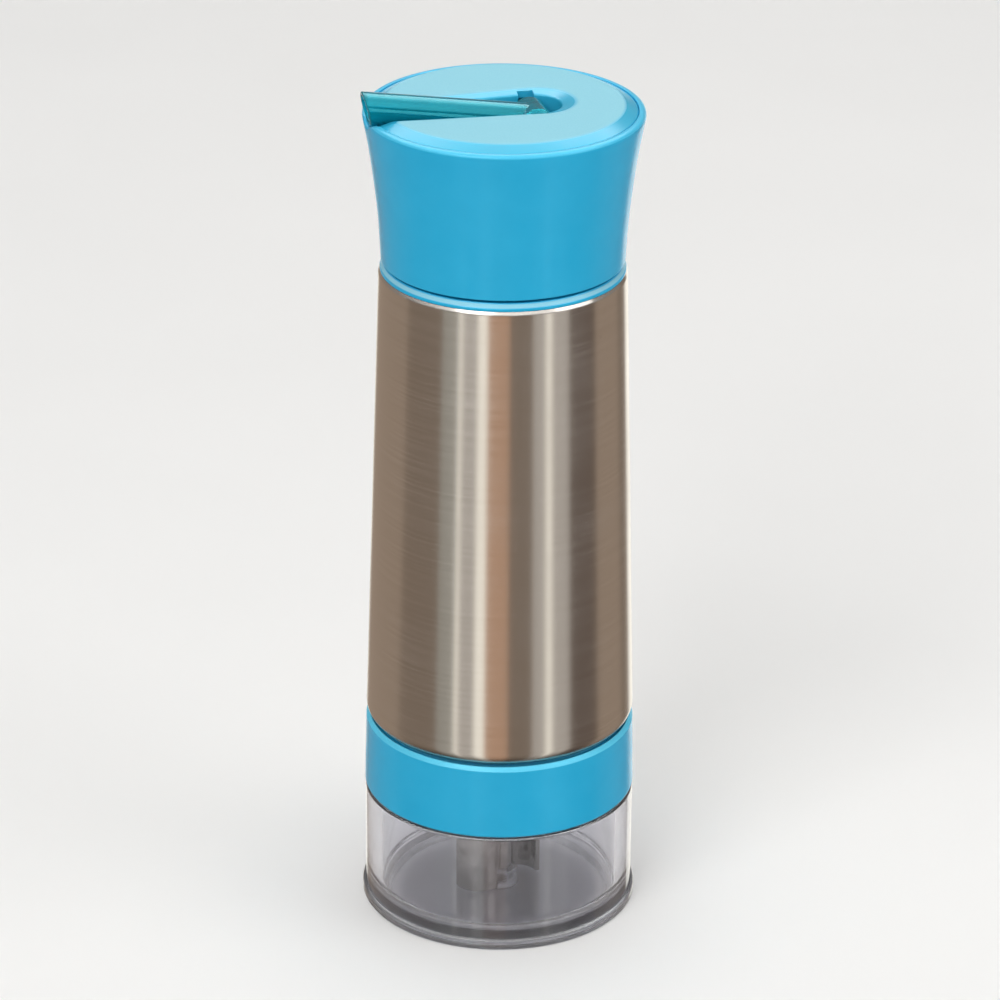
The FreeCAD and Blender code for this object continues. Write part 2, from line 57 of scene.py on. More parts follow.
def setSockets(tree, node, sockets):
    # each socket takes a value or another node's output
    for key, value in sockets.items():
        if isinstance(value, bpy.types.NodeSocket):
            tree.links.new(value, node.inputs[key])
        else:
            node.inputs[key].default_value = value


def addNode(tree, kind, sockets=None, **settings):
    # one node with its settings and sockets
    node = tree.nodes.new(kind)
    for name, value in settings.items():
        setattr(node, name, value)
    setSockets(tree, node, sockets or {})
    return node


def noiseAt(tree, place, size, detail=2.0):
    # soft noise with cells of about a size in millimetres
    noise = addNode(tree, "ShaderNodeTexNoise", {"Vector": place, "Scale": 1 / (size * mm), "Detail": detail})
    return noise.outputs["Fac"]


def remap(tree, value, source, target=(0.0, 1.0)):
    # one range carried to another, held at its ends
    return addNode(tree, "ShaderNodeMapRange", {"Value": value, "From Min": source[0], "From Max": source[1],
                                                "To Min": target[0], "To Max": target[1]}).outputs[0]


def mixTones(tree, share, one, other):
    # two tones by the share of the other; a tone is a hex code or a node's output
    one, other = [linearColour(tone) if isinstance(tone, str) else tone for tone in (one, other)]
    return addNode(tree, "ShaderNodeMix", {0: share, 6: one, 7: other}, data_type="RGBA").outputs[2]


def startMaterial(name):
    # empty material with its shader, its output and the object's own coordinates
    material = bpy.data.materials.new(name)
    material.use_nodes = True
    tree = material.node_tree
    tree.nodes.clear()
    skin = addNode(tree, "ShaderNodeBsdfPrincipled")
    addNode(tree, "ShaderNodeOutputMaterial", {"Surface": skin.outputs["BSDF"]})
    place = addNode(tree, "ShaderNodeTexCoord").outputs["Object"]
    return material, tree, skin, place


# camera: the photograph's own place, lens and slight tilt

photoView = {
    "place": (-264.2, -1059.8, 607.3),  # mm
    "azimuth": -13.982,                 # degrees round the bottle from its front
    "pitch": 24.21,                     # degrees below level
    "roll": 0.45,
    "lens": 162.0, "sensor": 36.0,      # mm
    "farClip": 50.0,                    # metres
}


def placeCamera(view):
    lens = bpy.data.cameras.new("camera")
    lens.lens = view["lens"]
    lens.sensor_width = view["sensor"]
    lens.clip_end = view["farClip"]
    camera = bpy.data.objects.new("camera", lens)
    turn = Matrix.Rotation(np.radians(view["azimuth"]), 4, "Z")
    turn = turn @ Matrix.Rotation(np.radians(90 - view["pitch"]), 4, "X")
    turn = turn @ Matrix.Rotation(np.radians(view["roll"]), 4, "Z")
    camera.matrix_world = Matrix.Translation(Vector(view["place"]) * mm) @ turn
    scene.collection.objects.link(camera)
    scene.camera = camera


placeCamera(photoView)
print("camera placed")

# light: soft boxes, and a room whose walls the brushed steel mirrors as upright bands

roomLook = {
    "ambient": 0.48,
    "white": "#FFFFFF",
    "wallStrength": 1.45,
    "coveStrength": 5.5,
    "skyline": (-0.1, 0.08),  # sine of the elevation between which the walls give way to what is over them
    "ground": (-0.8, -0.6, 0.3),  # sines of the elevation between which the walls darken to a share, downwards
    "upper": [  # sine of the elevation, and share of the bright cove: upper walls, cove, ceiling
        (0.0, 0.04), (0.5, 0.07), (0.62, 1.0), (0.84, 1.0), (0.92, 0.7), (1.0, 0.7),
    ],
    "tones": {"window": "#F5F2EA", "plaster": "#8C7D70", "shade": "#75685D", "stone": "#92908A", "linen": "#A7A29D",
              "clay": "#AE8D76", "door": "#54473F"},
    "front": 0.039,  # share of a full turn at which the steel's middle line, seen from the camera, meets the room
    "softEdge": 1.2,  # degrees
    "walls": [  # what stands round the room, and how many degrees to the side of that line it ends
        ("window", -164), ("plaster", -96), ("shade", -56), ("stone", -40), ("window", -36), ("linen", -22),
        ("window", -13), ("clay", 7), ("shade", 28), ("linen", 40), ("window", 46), ("linen", 63), ("door", 93),
        ("plaster", 130), ("shade", 150), ("window", 180),
    ],
}

lampLook = [  # place and size in metres, power in watts
    {"name": "keyBox", "place": (-1.0, -1.1, 1.5), "size": 1.0, "power": 15.0},
    {"name": "fillBox", "place": (1.3, -0.9, 1.0), "size": 1.2, "power": 8.0},
    {"name": "topBox", "place": (0.1, 0.5, 1.7), "size": 1.2, "power": 3.5},
]


def buildRoom(look):
    world = bpy.data.worlds.new("room")
    scene.world = world
    world.use_nodes = True
    tree = world.node_tree
    tree.nodes.clear()
    way = addNode(tree, "ShaderNodeTexCoord").outputs["Generated"]
    split = addNode(tree, "ShaderNodeSeparateXYZ", {0: way})
    turn = addNode(tree, "ShaderNodeMath", {0: split.outputs["X"], 1: split.outputs["Y"]}, operation="ARCTAN2")
    share = addNode(tree, "ShaderNodeMath", {0: turn.outputs[0], 1: 1 / fullTurn, 2: 0.5}, operation="MULTIPLY_ADD")
    ends = [(side + way * look["softEdge"], tone) for (one, side), (other, _) in zip(look["walls"], look["walls"][1:])
            for way, tone in ((-1, one), (1, other))]
    walls = sorted(((look["front"] - side / 360) % 1, linearColour(look["tones"][tone])) for side, tone in ends)
    around = addNode(tree, "ShaderNodeValToRGB", {"Fac": share.outputs[0]})
    upward = addNode(tree, "ShaderNodeValToRGB", {"Fac": split.outputs["Z"]})
    for ramp, table in ((around, walls), (upward, [(spot, (tone, tone, tone, 1)) for spot, tone in look["upper"]])):
        stops = ramp.color_ramp.elements
        for spot, tone in table[1:-1]:
            stops.new(spot)
        for stop, (spot, tone) in zip(stops, table):
            stop.position = spot
            stop.color = tone
    ray = addNode(tree, "ShaderNodeLightPath").outputs
    ambient = addNode(tree, "ShaderNodeBackground", {"Color": linearColour(look["white"]), "Strength": look["ambient"]})
    low, high, share = look["ground"]
    dim = remap(tree, split.outputs["Z"], (low, high), (share * look["wallStrength"], look["wallStrength"]))
    walled = addNode(tree, "ShaderNodeBackground", {"Color": around.outputs["Color"], "Strength": dim})
    upper = addNode(tree, "ShaderNodeBackground", {"Color": upward.outputs["Color"], "Strength": look["coveStrength"]})
    lift = remap(tree, split.outputs["Z"], look["skyline"])
    room = addNode(tree, "ShaderNodeMixShader", {0: lift, 1: walled.outputs[0], 2: upper.outputs[0]})
    white = addNode(tree, "ShaderNodeBackground", {"Color": linearColour(look["white"])})
    seen = addNode(tree, "ShaderNodeMath", {0: ray["Is Camera Ray"], 1: ray["Is Transmission Ray"]},
                   operation="MAXIMUM")
    lit = addNode(tree, "ShaderNodeMixShader", {0: ray["Is Glossy Ray"], 1: ambient.outputs[0], 2: room.outputs[0]})
    mix = addNode(tree, "ShaderNodeMixShader", {0: seen.outputs[0], 1: lit.outputs[0], 2: white.outputs[0]})
    addNode(tree, "ShaderNodeOutputWorld", {"Surface": mix.outputs[0]})


def hangLamp(look):
    lamp = bpy.data.lights.new(look["name"], "AREA")
    lamp.size = look["size"]
    lamp.energy = look["power"]
    box = bpy.data.objects.new(look["name"], lamp)
    place = Vector(look["place"])
    aim = Vector(lampAim) - place
    box.matrix_world = Matrix.Translation(place) @ aim.to_track_quat("-Z", "Y").to_matrix().to_4x4()
    scene.collection.objects.link(box)


buildRoom(roomLook)
for look in lampLook:
    hangLamp(look)
print("room and", len(lampLook), "lamps lit")

# shapes, in millimetres


def roundedProfile(corners, steps=7, hold=0.15):
    # each corner (radius, height, fillet) becomes an arc that touches both of its sides,
    # with one more point a little way along each side to hold the flat's shading
    table = np.array([(*corner, 0)[:3] for corner in corners], float)
    spot, fillet = table[:, :2], table[:, 2:]
    back = np.roll(spot, 1, 0) - spot
    ahead = np.roll(spot, -1, 0) - spot
    back /= np.linalg.norm(back, axis=1, keepdims=True)
    ahead /= np.linalg.norm(ahead, axis=1, keepdims=True)
    half = np.arccos(np.clip((back * ahead).sum(1, keepdims=True), -1, 1)) / 2
    reach = fillet / np.tan(half)
    start, end = spot + back * reach, spot + ahead * reach
    middle = (back + ahead) / np.maximum(np.linalg.norm(back + ahead, axis=1, keepdims=True), 1e-9)
    centre = spot + middle * fillet / np.sin(half)
    swing = np.maximum(np.pi - 2 * half, 1e-6)[:, None]
    t = np.linspace(0, 1, steps)[None, :, None]
    arc = np.sin((1 - t) * swing) * (start - centre)[:, None] + np.sin(t * swing) * (end - centre)[:, None]
    arc = centre[:, None] + arc / np.sin(swing)
    lead, tail = start + back * hold * reach, end + ahead * hold * reach
    line = np.concatenate([lead[:, None], arc, tail[:, None]], 1).reshape(-1, 2)
    return line[np.linalg.norm(line - np.roll(line, 1, 0), axis=1) > 1e-6]


def spreadPoints(profile, step, low, high, radius, near=0.05):
    # more points, about a step apart, on the runs at one radius between two heights
    ends = np.roll(profile, -1, 0)
    middle = (profile + ends) / 2
    inside = (abs(middle[:, 0] - radius) < near) & (middle[:, 1] > low) & (middle[:, 1] < high)
    run = np.linalg.norm(ends - profile, axis=1)
    count = np.where(inside, np.ceil(run / step), 1).astype(int)
    index = np.repeat(np.arange(len(profile)), count)
    share = (np.arange(len(index)) - np.repeat(np.cumsum(count) - count, count)) / count[index]
    return profile[index] + share[:, None] * (ends - profile)[index]


def gridObject(name, points, material, wrapRows=False, wrapColumns=True, sharp=40):
    # grid of points (rows, columns, xyz) in millimetres joined to quads, doubles merged, faces outward
    rows, columns = points.shape[:2]
    index = np.arange(rows * columns).reshape(rows, columns)
    if wrapRows:
        index = np.vstack([index, index[:1]])
    if wrapColumns:
        index = np.hstack([index, index[:, :1]])
    quads = np.stack([index[:-1, :-1], index[:-1, 1:], index[1:, 1:], index[1:, :-1]], -1).reshape(-1, 4)
    mesh = bpy.data.meshes.new(name)
    mesh.from_pydata((points.reshape(-1, 3) * mm).tolist(), [], quads.tolist())
    work = bmesh.new()
    work.from_mesh(mesh)
    bmesh.ops.remove_doubles(work, verts=work.verts, dist=weld)
    bmesh.ops.dissolve_degenerate(work, edges=work.edges, dist=weld)
    bmesh.ops.recalc_face_normals(work, faces=work.faces)
    work.to_mesh(mesh)
    work.free()
    mesh.shade_smooth()
    mesh.set_sharp_from_angle(angle=np.radians(sharp))
    mesh.materials.append(material)
    piece = bpy.data.objects.new(name, mesh)
    scene.collection.objects.link(piece)
    return piece


def joinShapes(piece, others, way, sharp=40):
    # exact boolean of the piece with each other shape, kept as the piece's own mesh
    for other in others:
        change = piece.modifiers.new("join", "BOOLEAN")
        change.operation = way
        change.solver = "EXACT"
        change.object = other
    mesh = bpy.data.meshes.new_from_object(piece.evaluated_get(bpy.context.evaluated_depsgraph_get()))
    piece.modifiers.clear()
    piece.data = mesh
    mesh.shade_smooth()
    mesh.set_sharp_from_angle(angle=np.radians(sharp))
    for other in others:
        bpy.data.objects.remove(other)


def roundBar(name, start, end, radius, columns=64):
    # plain bar between two points, used only to cut holes
    start, end = np.array(start, float), np.array(end, float)
    axis = (end - start) / np.linalg.norm(end - start)
    across = np.cross(axis, [0.3, 0.5, 0.8])  # any direction that is not the bar's own
    across /= np.linalg.norm(across)
    angle = np.linspace(0, fullTurn, columns, endpoint=False)[None, :, None]
    ring = np.cos(angle) * across + np.sin(angle) * np.cross(axis, across)
    spot = np.stack([start, start, end, end])[:, None]
    return gridObject(name, spot + np.array([0, radius, radius, 0])[:, None, None] * ring, aqua)


def standIn(piece, body, slot, *covered):
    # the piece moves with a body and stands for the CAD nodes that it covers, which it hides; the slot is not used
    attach(piece, body)
    if covered:
        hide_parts(*covered)


def turnedGrid(profile, columns=192, ripple=None):
    # each profile point (radius, height) carried round Z; ripple adds to the radius by height and angle
    angle = np.linspace(0, fullTurn, columns, endpoint=False)[None, :]
    radius, height = profile[:, :1] + 0 * angle, profile[:, 1:] + 0 * angle
    if ripple is not None:
        radius = radius + ripple(radius, height, angle)
    return np.stack([radius * np.cos(angle), radius * np.sin(angle), height], -1)


def smoothStep(low, high, value):
    t = np.clip((value - low) / (high - low), 0, 1)
    return t * t * (3 - 2 * t)


def softRamp(value, blend):
    # zero below zero and the value itself above it, rounded over about one blend at the bend
    return (value + np.sqrt(value ** 2 + blend ** 2)) / 2


def threadGroove(thread, band=0.6):
    # helical groove: depth falls off with the distance along the axis from a line that rises one pitch a turn;
    # it cuts only what lies within a band inside the crest
    def ripple(radius, height, angle):
        turns = (height - thread["start"]) / thread["pitch"] - angle / fullTurn
        away = abs(turns - np.round(turns)) * thread["pitch"]
        depth = 1 - smoothStep(thread["floor"], thread["mouth"], away)
        depth = depth * smoothStep(thread["low"], thread["low"] + thread["pitch"] / 3, height)
        wall = (radius > thread["crest"] - band) & (height > thread["low"])
        return np.where(wall, np.minimum(thread["crest"] - thread["depth"] * depth - radius, 0), 0)
    return ripple


def threadRidge(name, thread, ridge, material, fade=0.06):
    # rounded rib carried along the same rising line, inside a bore, thinning out at both ends;
    # its crest is flattened, its root sunk into the bore's wall and its sides drawn in
    crest, root, drawn = 1.4, 0.2, 0.35
    turn = np.linspace(ridge["from"], ridge["to"], 240)[:, None]  # in turns
    around = np.linspace(0, fullTurn, 16, endpoint=False)[None, :]
    size = smoothStep(0, fade, turn - ridge["from"]) * smoothStep(0, fade, ridge["to"] - turn)
    inward = ridge["depth"] * np.clip(np.sin(around) * crest, -root, 1) * size
    along = ridge["half"] * np.cos(around) * (1 - drawn * np.clip(np.sin(around), 0, 1)) * size
    radius = ridge["bore"] - inward
    height = thread["start"] + thread["pitch"] * turn + along
    angle = fullTurn * turn
    return gridObject(name, np.stack([radius * np.cos(angle), radius * np.sin(angle), height], -1), material)


# finishes

steelLook = {
    "dark": "#C9C3BB", "pale": "#DBD6CF",
    "scratch": 0.35, "length": 35.0,    # mm; real scratches are finer and would not show
    "relief": 0.08, "depth": 0.02,      # strength, and mm
    "smudge": 22.0,                     # mm, handling marks
    "rough": (0.2, 0.27), "roughFrom": (0.1, 0.45),
    "spread": 0.88, "lay": 0.25,        # stretch of the reflections, and its turn from the tangent
    "wave": 26.0, "waveDepth": 0.018,   # mm, slow unevenness left by forming
    "speck": 11.0, "speckSize": 0.3,    # mm, spacing and size of small pits
    "pit": 0.45,
}


def brushedStainless(look):
    # 18/8 stainless brushed round the body: fine level scratches that pull every reflection into an upright band
    material, tree, skin, place = startMaterial("stainlessBrushed")
    lay = addNode(tree, "ShaderNodeMapping", {"Vector": place, "Scale": (
        1 / (look["length"] * mm), 1 / (look["length"] * mm), 1 / (look["scratch"] * mm))})
    lines = addNode(tree, "ShaderNodeTexNoise", {"Vector": lay.outputs[0], "Scale": 1.0, "Detail": 3.0}).outputs["Fac"]
    smudge = noiseAt(tree, place, look["smudge"])
    blend = addNode(tree, "ShaderNodeMath", {0: lines, 1: smudge}, operation="MULTIPLY").outputs[0]
    rough = remap(tree, blend, look["roughFrom"], look["rough"])
    wave = noiseAt(tree, place, look["wave"], 1.0)
    form = addNode(tree, "ShaderNodeBump", {"Height": wave, "Strength": 1.0, "Distance": look["waveDepth"] * mm})
    relief = addNode(tree, "ShaderNodeBump", {"Height": lines, "Strength": look["relief"],
                                              "Distance": look["depth"] * mm, "Normal": form.outputs[0]})
    cell = addNode(tree, "ShaderNodeTexVoronoi", {"Vector": place, "Scale": 1 / (look["speck"] * mm)})
    pit = remap(tree, cell.outputs["Distance"], (0.0, look["speckSize"] / look["speck"]), (look["pit"], 1.0))
    tone = mixTones(tree, lines, look["dark"], look["pale"])
    tone = addNode(tree, "ShaderNodeMix", {0: 1.0, 6: tone, 7: pit}, data_type="RGBA", blend_type="MULTIPLY")
    along = addNode(tree, "ShaderNodeTangent", direction_type="RADIAL", axis="Z")
    setSockets(tree, skin, {
        "Metallic": 1.0, "Anisotropic": look["spread"], "Anisotropic Rotation": look["lay"],
        "Base Color": tone.outputs[2], "Roughness": rough, "Normal": relief.outputs[0], "Tangent": along.outputs[0]})
    return material


aquaLook = {"name": "aquaPpMoulded", "deep": "#22A4D0", "pale": "#2AADD8", "mottle": 9.0, "grain": 0.45,
            "rough": (0.18, 0.27), "depth": 0.05, "relief": 0.12, "ior": 1.49, "gloss": "#B4F2FF"}
# the ring's upper bevel is paler above about 53.2 mm: a painted highlight along the edge
collarLook = {**aquaLook, "name": "aquaPpEdgeHighlightPainted", "faceDeep": "#4FC1E3", "facePale": "#5DCAEA",
              "faceFrom": (53.2, 53.45), "faceRough": 0.3}
# the shell's rounded rim is paler above about 225.2 mm: a painted highlight along the rim
shellLook = {**aquaLook, "name": "aquaPpRimHighlightPainted", "faceDeep": "#3FB9E0", "facePale": "#4CC2E6",
             "faceFrom": (225.2, 225.55), "faceRough": 0.3}
# the flange's slope has a pale band between about 183.7 and 184.6 mm: a painted highlight line
neckLook = {**aquaLook, "name": "aquaPpFlangeHighlightPainted", "faceDeep": "#82C2D6", "facePale": "#8FCADB",
            "faceFrom": (183.6, 183.85), "faceTo": (184.45, 184.7), "faceRough": 0.4}
# the deck's aqua is paler than the shell's: painted light on its up-facing slopes; its flat face above about 227.45 mm
# is paler still, partly the frosted look of its spark texture and partly painted sheen
deckLook = {**aquaLook, "name": "aquaPpSparkFacedPaintedSheen", "deep": "#2DADD3", "pale": "#3BB7DA",
            "faceDeep": "#83C3D4", "facePale": "#95CDDB", "faceFrom": (227.45, 227.7), "faceRough": 0.62}
linerLook = {"name": "whitePpMoulded", "deep": "#DDE2E2", "pale": "#EEF1F0", "mottle": 9.0, "grain": 0.45,
             "rough": (0.38, 0.48), "depth": 0.05, "relief": 0.12, "ior": 1.49, "gloss": "#FFFFFF"}
plateLook = {"name": "greyNylonMoulded", "deep": "#B9BDBE", "pale": "#CDD0D0", "mottle": 6.0, "grain": 0.4,
             "rough": (0.4, 0.5), "depth": 0.05, "relief": 0.15, "ior": 1.53, "gloss": "#FFFFFF"}
siliconeLook = {"name": "siliconeMoulded", "deep": "#D8DAD8", "pale": "#E8EAE8", "mottle": 5.0, "grain": 0.3,
                "rough": (0.5, 0.6), "depth": 0.05, "relief": 0.1, "ior": 1.41, "gloss": "#FFFFFF"}


def mouldedPlastic(look):
    # moulded plastic: even satin colour, faint flow mottling and a fine spark-eroded grain that breaks up the gloss;
    # a face or a band above a given height, and below another if given, can be paler and duller: a painted highlight on
    # an edge, rim or flange, and on a spark-textured face partly its texture and partly painted sheen
    material, tree, skin, place = startMaterial(look["name"])
    flow, grain = noiseAt(tree, place, look["mottle"], 3.0), noiseAt(tree, place, look["grain"])
    tone = mixTones(tree, flow, look["deep"], look["pale"])
    rough = remap(tree, flow, noiseSpan, look["rough"])
    if "faceFrom" in look:
        height = addNode(tree, "ShaderNodeSeparateXYZ", {0: place}).outputs["Z"]
        face = remap(tree, height, [level * mm for level in look["faceFrom"]])
        if "faceTo" in look:
            rest = remap(tree, height, [level * mm for level in look["faceTo"][::-1]])
            face = addNode(tree, "ShaderNodeMath", {0: face, 1: rest}, operation="MINIMUM").outputs[0]
        # paler tone over the band, broken by the grain: painted highlight or painted sheen
        speck = mixTones(tree, grain, look["faceDeep"], look["facePale"])
        tone = mixTones(tree, face, tone, speck)
        rough = addNode(tree, "ShaderNodeMix", {0: face, 2: rough, 3: look["faceRough"]}).outputs[0]
    relief = addNode(tree, "ShaderNodeBump", {"Height": grain, "Strength": look["relief"],
                                              "Distance": look["depth"] * mm})
    setSockets(tree, skin, {"IOR": look["ior"], "Specular Tint": linearColour(look["gloss"]), "Base Color": tone,
                            "Roughness": rough, "Normal": relief.outputs[0]})
    return material


cupLook = {"name": "clearCopolyesterMoulded", "deep": "#E8E8EE", "pale": "#F3F3F7", "ior": 1.54, "clear": 0.98,
           "rough": (0.015, 0.05), "flow": 14.0, "gloss": "#FFFFFF", "shine": 0.5, "frostTop": 1.2, "frostRough": 0.4}
spoutLook = {"name": "tealCopolyesterMoulded", "deep": "#06AEC2", "pale": "#12BBCB", "ior": 1.54, "clear": 0.72,
             "rough": (0.03, 0.07), "flow": 6.0, "gloss": "#62E2EC", "shine": 0.3}
strawLook = {"name": "milkyPolyetheneExtruded", "deep": "#DCE6E8", "pale": "#EAF0F1", "ior": 1.5, "clear": 0.25,
             "rough": (0.35, 0.45), "flow": 6.0, "gloss": "#FFFFFF", "shine": 0.5}


def clearPlastic(look):
    # clear moulded plastic: sharp at the edges, with a faint haze where it has been handled and washed;
    # an underside below a given height is spark-textured and looks frosted
    material, tree, skin, place = startMaterial(look["name"])
    flow = noiseAt(tree, place, look["flow"], 4.0)
    rough = remap(tree, flow, hazeSpan, look["rough"])
    if "frostTop" in look:
        height = addNode(tree, "ShaderNodeSeparateXYZ", {0: place}).outputs["Z"]
        frost = addNode(tree, "ShaderNodeMath", {0: height, 1: look["frostTop"] * mm}, operation="LESS_THAN").outputs[0]
        rough = addNode(tree, "ShaderNodeMix", {0: frost, 2: rough, 3: look["frostRough"]}).outputs[0]
    setSockets(tree, skin, {
        "IOR": look["ior"], "Specular Tint": linearColour(look["gloss"]), "Specular IOR Level": look["shine"],
        "Transmission Weight": look["clear"], "Base Color": mixTones(tree, flow, look["deep"], look["pale"]),
        "Roughness": rough})
    return material


bladeLook = {"name": "stainlessSatin", "dark": "#ACA7A1", "pale": "#BDB8B2", "cloud": 4.0, "rough": (0.13, 0.2)}


def satinStainless(look):
    # rolled and tumbled stainless: soft grey mirror, slightly cloudy
    material, tree, skin, place = startMaterial(look["name"])
    cloud = noiseAt(tree, place, look["cloud"], 4.0)
    setSockets(tree, skin, {"Metallic": 1.0, "Base Color": mixTones(tree, cloud, look["dark"], look["pale"]),
                            "Roughness": remap(tree, cloud, noiseSpan, look["rough"])})
    return material


steel = brushedStainless(steelLook)
satin = satinStainless(bladeLook)
aqua = mouldedPlastic(aquaLook)
aquaEdgeHighlight = mouldedPlastic(collarLook)
aquaRimHighlight = mouldedPlastic(shellLook)
aquaFlangeHighlight = mouldedPlastic(neckLook)
aquaDeckPaintedSheen = mouldedPlastic(deckLook)
linerWhite = mouldedPlastic(linerLook)
plateGrey = mouldedPlastic(plateLook)
silicone = mouldedPlastic(siliconeLook)
clearCup = clearPlastic(cupLook)
tealSpout = clearPlastic(spoutLook)
strawClear = clearPlastic(strawLook)
print("finishes mixed")

nodeFinish = {
    aquaEdgeHighlight: ("base_collar",),
    aquaFlangeHighlight: ("neck_collar",),
    aquaRimHighlight: ("lid_shell",),
    aquaDeckPaintedSheen: ("lid_deck",),
    linerWhite: ("lid_liner", "clamp_ring"),
    plateGrey: ("grinder_plate",),
    silicone: ("cup_gasket", "base_gasket", "neck_seal", "lid_gasket", "spout_seal", "vent_valve"),
    satin: ("filter_screen", "plate_screws", "grinder_blade", "grinder_shaft", "shaft_nut"),
    steel: ("steel_body",),
    clearCup: ("infuser_cup",),
    tealSpout: ("spout",),
    strawClear: ("straw",),
}
for finish, names in nodeFinish.items():
    for name in names:
        for slot in nodes[name].material_slots:
            slot.material = finish

# steel body: one wall, rolled in at the bottom

bodyShape = {"bottom": 54.6, "top": 182.8, "lowRadius": 36.15, "topRadius": 32.5, "wall": 0.7, "curl": 3.2,
             "hole": 27.75, "lipRise": 0.9, "lipIn": 0.4, "lipRound": 1.2, "columns": 256}


def turnSteelBody(shape):
    slope = (shape["lowRadius"] - shape["topRadius"]) / (shape["top"] - shape["bottom"])
    floorTop = shape["bottom"] + shape["wall"]
    inner = shape["lowRadius"] - shape["wall"] - slope * shape["wall"]
    profile = roundedProfile([
        (shape["hole"], shape["bottom"]),
        (shape["lowRadius"], shape["bottom"], shape["curl"]),
        (shape["topRadius"], shape["top"] - shape["lipRise"], shape["lipRound"]),
        (shape["topRadius"] - shape["lipIn"], shape["top"]),
        (shape["topRadius"] - shape["wall"], shape["top"]),
        (inner, floorTop, shape["curl"] - shape["wall"]),
        (shape["hole"], floorTop),
    ])
    return gridObject("steelBody", turnedGrid(profile, shape["columns"]), steel, wrapRows=True)


standIn(turnSteelBody(bodyShape), "bottle", "brushed_steel", "steel_body")
print("steel body turned")

# clear cup: thick wall, foot, bearing boss and a threaded spigot

cupThread = {"crest": 34.1, "start": 35.5, "pitch": 5.0, "depth": 0.9, "floor": 0.8, "mouth": 1.45,
             "low": 34.8}
cupShape = {"foot": 37.3, "footLand": 5.0, "footHeight": 3.0, "recess": 0.7, "wall": 36.4, "bore": 32.0,
            "shoulder": 33.4, "spigotTop": 46.0, "floor": 2.2, "boss": 5.2, "bossTop": 6.8, "socket": 2.58,
            "socketFloor": 3.0, "edge": 0.8, "inside": 6.0, "recessRound": 0.35, "landRound": 0.3, "footCorner": 0.1,
            "shoulderRound": 0.3, "rimRound": 0.5, "bossFoot": 0.6, "bossRound": 0.5, "socketRound": 0.2, "steps": 13}


def turnCup(shape, thread):
    profile = roundedProfile([
        (0, shape["recess"]),
        (shape["foot"] - shape["footLand"], shape["recess"], shape["recessRound"]),
        (shape["foot"] - shape["footLand"], 0, shape["landRound"]),
        (shape["foot"], 0, shape["edge"]),
        (shape["foot"], shape["footHeight"], shape["edge"]),
        (shape["wall"], shape["footHeight"], shape["footCorner"]),
        (shape["wall"], shape["shoulder"], shape["edge"]),
        (thread["crest"], shape["shoulder"], shape["shoulderRound"]),
        (thread["crest"], shape["spigotTop"], shape["rimRound"]),
        (shape["bore"], shape["spigotTop"], shape["rimRound"]),
        (shape["bore"], shape["floor"], shape["inside"]),
        (shape["boss"], shape["floor"], shape["bossFoot"]),
        (shape["boss"], shape["bossTop"], shape["bossRound"]),
        (shape["socket"], shape["bossTop"], shape["socketRound"]),
        (shape["socket"], shape["socketFloor"], shape["socketRound"]),
        (0, shape["socketFloor"]),
    ], shape["steps"])
    profile = spreadPoints(profile, threadStep, shape["shoulder"], shape["spigotTop"], thread["crest"])
    return gridObject("infuserCup", turnedGrid(profile, ripple=threadGroove(thread)), clearCup)


standIn(turnCup(cupShape, cupThread), "cup", "clear_cup", "infuser_cup")
collarRidge = {"bore": 34.45, "depth": 0.8, "half": 0.85, "from": 0.35, "to": 1.85}
standIn(threadRidge("collarThread", cupThread, collarRidge, aqua), "bottle", "aqua_plastic")
print("cup turned")

# base collar: ring with a bevelled upper edge and a shadow gap under the steel, web with a seal groove and screw
# holes, and a sleeve

collarShape = {"bore": 34.45, "bottom": 33.8, "lowRadius": 36.65, "lowEdge": 0.9, "topRadius": 36.15, "top": 54.5,
               "bevelHeight": 1.15, "bevelWidth": 0.85, "gapOuter": 35.0, "gapInner": 33.0, "gapFloor": 52.9,
               "grooveOuter": 31.45, "grooveInner": 28.25, "grooveFloor": 53.1, "sleeve": 27.4, "sleeveBore": 25.0,
               "sleeveTop": 61.0, "web": 48.0, "screws": 3, "screwCircle": 27.8, "screwHole": 1.33, "screwTop": 52.4,
               "screwLow": 47.0, "screwSides": 32, "boreRound": 0.3, "bevelLow": 0.6, "bevelHigh": 0.35,
               "gapRound": 0.1, "sleeveRound": 0.4}


def turnCollar(shape):
    profile = roundedProfile([
        (shape["bore"], shape["bottom"], shape["boreRound"]),
        (shape["lowRadius"], shape["bottom"], shape["lowEdge"]),
        (shape["topRadius"], shape["top"] - shape["bevelHeight"], shape["bevelLow"]),
        (shape["topRadius"] - shape["bevelWidth"], shape["top"], shape["bevelHigh"]),
        (shape["gapOuter"], shape["top"], shape["gapRound"]),
        (shape["gapOuter"], shape["gapFloor"], shape["gapRound"]),
        (shape["gapInner"], shape["gapFloor"], shape["gapRound"]),
        (shape["gapInner"], shape["top"]),
        (shape["grooveOuter"], shape["top"]),
        (shape["grooveOuter"], shape["grooveFloor"]),
        (shape["grooveInner"], shape["grooveFloor"]),
        (shape["grooveInner"], shape["top"]),
        (shape["sleeve"], shape["top"]),
        (shape["sleeve"], shape["sleeveTop"], shape["sleeveRound"]),
        (shape["sleeveBore"], shape["sleeveTop"], shape["sleeveRound"]),
        (shape["sleeveBore"], shape["web"], shape["sleeveRound"]),
        (shape["bore"], shape["web"]),
    ])
    collar = gridObject("baseCollar", turnedGrid(profile), aquaEdgeHighlight, wrapRows=True)
    turn = fullTurn * np.arange(shape["screws"]) / shape["screws"]
    spots = shape["screwCircle"] * np.stack([np.cos(turn), np.sin(turn)], 1)
    joinShapes(collar, [roundBar("screwHole", (*spot, shape["screwLow"]), (*spot, shape["screwTop"]),
                                 shape["screwHole"], shape["screwSides"]) for spot in spots], "DIFFERENCE")
    return collar


standIn(turnCollar(collarShape), "bottle", "aqua_plastic", "base_collar")
print("base collar moulded")

# neck insert: skirt with a seal groove, flange, and a threaded neck

